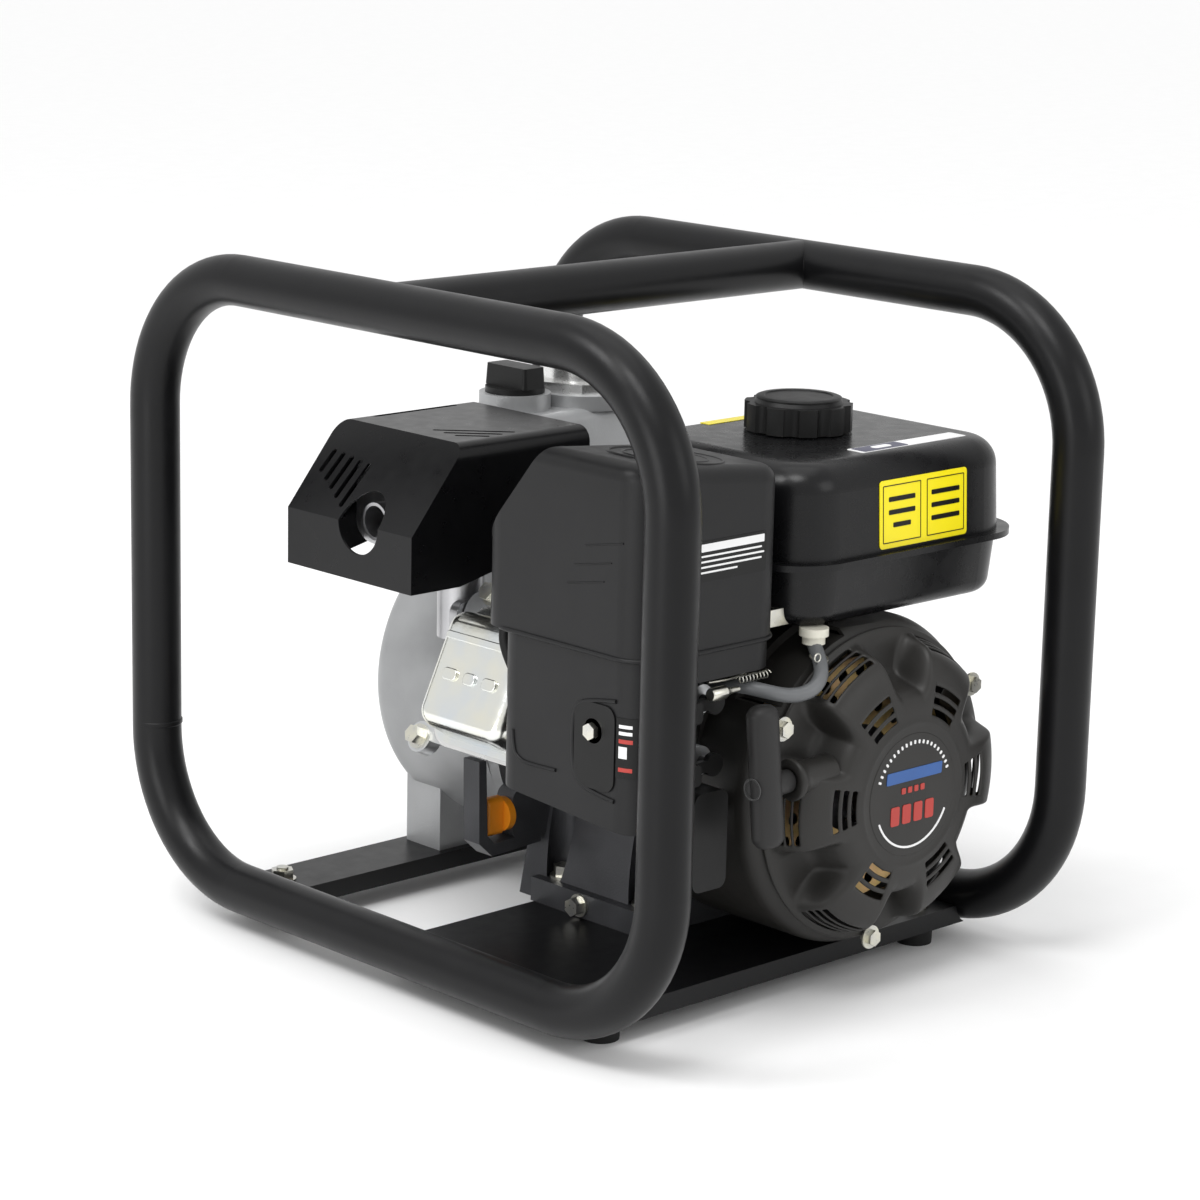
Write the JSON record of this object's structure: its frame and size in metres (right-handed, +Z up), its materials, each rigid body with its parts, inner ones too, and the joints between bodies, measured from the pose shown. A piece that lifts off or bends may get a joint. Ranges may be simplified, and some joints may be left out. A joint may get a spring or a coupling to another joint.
{
  "type": "engine-driven water pump",
  "caption": "Petrol-engine water pump in a tubular carrying frame: recoil-start engine, self-priming pump casing, two threaded hose connections.",
  "frame": {"origin": "on the ground under the middle of the frame's bounding box", "axes": "+X along the top handle from the air cleaner side to the tank side, +Y along the crankshaft from the recoil starter to the pump, +Z up"},
  "size_m": [0.383, 0.5066, 0.4365],
  "materials": {
    "frame_black": "satin powder coat",
    "black_rubber": "matte",
    "zinc_steel": "zinc plated",
    "engine_grey": "metallic grey engine paint on cast aluminium",
    "orange_plastic": "moulded",
    "bright_zinc": "bright zinc on pressed steel",
    "machined_aluminium": "machined and cast",
    "machined_steel": "machined",
    "cast_iron": "as cast",
    "black_plastic": "moulded",
    "yellow_zinc": "yellow zinc on perforated steel",
    "shroud_grey": "satin on pressed steel",
    "grip_grey": "moulded",
    "rope_black": "braided",
    "tank_black": "gloss paint on pressed steel",
    "pale_plastic": "moulded",
    "hose_grey": "smooth",
    "charcoal_plastic": "fine grained",
    "filter_foam": "open foam over pleated paper",
    "switch_red": "moulded",
    "guard_black": "semi-gloss on pressed steel",
    "cast_aluminium": "shot-blasted casting",
    "bright_aluminium": "machined"
  },
  "bodies": {
    "chassis": {"air_cleaner_base": "charcoal_plastic", "air_cleaner_cover": "charcoal_plastic", "air_filter_element": "filter_foam", "base_bolts": "zinc_steel", "blower_housing": "shroud_grey", "carburettor": "machined_aluminium", "crankcase": "engine_grey", "crankcase_cover": "engine_grey", "cylinder_head": "machined_aluminium", "discharge_port": "bright_aluminium", "engine_plate": "frame_black", "far_loop": "frame_black", "flange_bolts": "zinc_steel", "foot_bolts": "zinc_steel", "fuel_hose": "hose_grey", "fuel_tank": "tank_black", "head_bolts": "zinc_steel", "ignition_coil": "black_plastic", "ignition_lead": "black_rubber", "main_bearings": "machined_steel", "mechanical_seal": "machined_steel", "muffler": "machined_steel", "muffler_guard": "guard_black", "near_loop": "frame_black", "oil_drain_plug": "zinc_steel", "plug_boot": "black_rubber", "pump_bracket": "cast_aluminium", "pump_casing": "cast_aluminium", "pump_rail": "frame_black", "recoil_cover": "shroud_grey", "recoil_spring": "machined_steel", "rocker_cover": "bright_zinc", "rubber_feet": "black_rubber", "spark_plug": "machined_steel", "suction_port": "bright_aluminium", "switch_box": "black_plastic", "tank_outlet": "pale_plastic", "top_handle": "frame_black", "volute": "cast_iron"},
    "rotor": {"crankshaft": "machined_steel", "flywheel": "cast_iron", "cooling_fan": "black_plastic", "starter_cup": "machined_steel", "fan_screen": "yellow_zinc", "impeller": "cast_iron"},
    "piston_set": {"piston": "machined_aluminium", "connecting_rod": "machined_aluminium"},
    "starter_pull": {"starter_grip": "grip_grey", "starter_rope": "rope_black"},
    "rope_pulley": {"rope_pulley": "black_plastic"},
    "fuel_cap": {"fuel_cap": "black_plastic"},
    "oil_filler_cap": {"oil_filler_cap": "orange_plastic"},
    "oil_dipstick_cap": {"oil_dipstick_cap": "orange_plastic"},
    "priming_plug": {"priming_plug": "black_plastic"},
    "pump_drain_plug": {"pump_drain_plug": "black_plastic"},
    "choke_lever": {"choke_lever": "black_plastic"},
    "fuel_valve_lever": {"fuel_valve_lever": "black_plastic"},
    "throttle_lever": {"throttle_lever": "zinc_steel"},
    "engine_switch": {"engine_switch": "switch_red"},
    "suction_flap": {"suction_flap": "black_rubber"}
  },
  "joints": [
    {"name": "crank_spin", "type": "hinge", "parent": "chassis", "child": "rotor", "pos_m": [0.054, 0, 0.13], "axis": [0, 1, 0], "continuous": true},
    {"name": "piston_stroke", "type": "slide", "parent": "chassis", "child": "piston_set", "axis": [-0.9063, 0, 0.4226], "range_m": [0, 0.045]},
    {"name": "starter_pull", "type": "slide", "parent": "chassis", "child": "starter_pull", "axis": [-1, 0, 0], "range_m": [0, 0.6]},
    {"name": "pulley_turn", "type": "hinge", "parent": "chassis", "child": "rope_pulley", "pos_m": [0.054, -0.207, 0.13], "axis": [0, 1, 0], "continuous": true},
    {"name": "fuel_cap_turn", "type": "hinge", "parent": "chassis", "child": "fuel_cap", "pos_m": [0.082, -0.088, 0.34], "axis": [0, 0, 1], "range_deg": [0, 90]},
    {"name": "oil_filler_cap_turn", "type": "hinge", "parent": "chassis", "child": "oil_filler_cap", "pos_m": [-0.061, 0.0225, 0.084], "axis": [-1, 0, 0], "range_deg": [0, 180]},
    {"name": "oil_dipstick_cap_turn", "type": "hinge", "parent": "chassis", "child": "oil_dipstick_cap", "pos_m": [0.169, 0.0225, 0.084], "axis": [1, 0, 0], "range_deg": [0, 180]},
    {"name": "priming_plug_turn", "type": "hinge", "parent": "chassis", "child": "priming_plug", "pos_m": [0.049, 0.14, 0.33], "axis": [0, 0, 1], "range_deg": [0, 180]},
    {"name": "pump_drain_plug_turn", "type": "hinge", "parent": "chassis", "child": "pump_drain_plug", "pos_m": [0.054, 0.178, 0.062], "axis": [0, 1, 0], "range_deg": [0, 180]},
    {"name": "choke_turn", "type": "hinge", "parent": "chassis", "child": "choke_lever", "pos_m": [-0.07, -0.15, 0.198], "axis": [0, 1, 0], "range_deg": [0, 60]},
    {"name": "fuel_valve_turn", "type": "hinge", "parent": "chassis", "child": "fuel_valve_lever", "pos_m": [-0.07, -0.15, 0.16], "axis": [0, 1, 0], "range_deg": [0, 60]},
    {"name": "throttle_turn", "type": "hinge", "parent": "chassis", "child": "throttle_lever", "pos_m": [-0.022, -0.115, 0.222], "axis": [0, 0, 1], "range_deg": [0, 20]},
    {"name": "engine_switch_turn", "type": "hinge", "parent": "chassis", "child": "engine_switch", "pos_m": [-0.09, -0.165, 0.122], "axis": [-1, 0, 0], "range_deg": [0, 90]},
    {"name": "suction_flap_swing", "type": "hinge", "parent": "chassis", "child": "suction_flap", "pos_m": [0.054, 0.1645, 0.221], "axis": [1, 0, 0], "range_deg": [-35, 0]}
  ],
  "couplings": [
    {"joint": "pulley_turn", "follows": "starter_pull", "rad_per_m": -29.412}
  ]
}
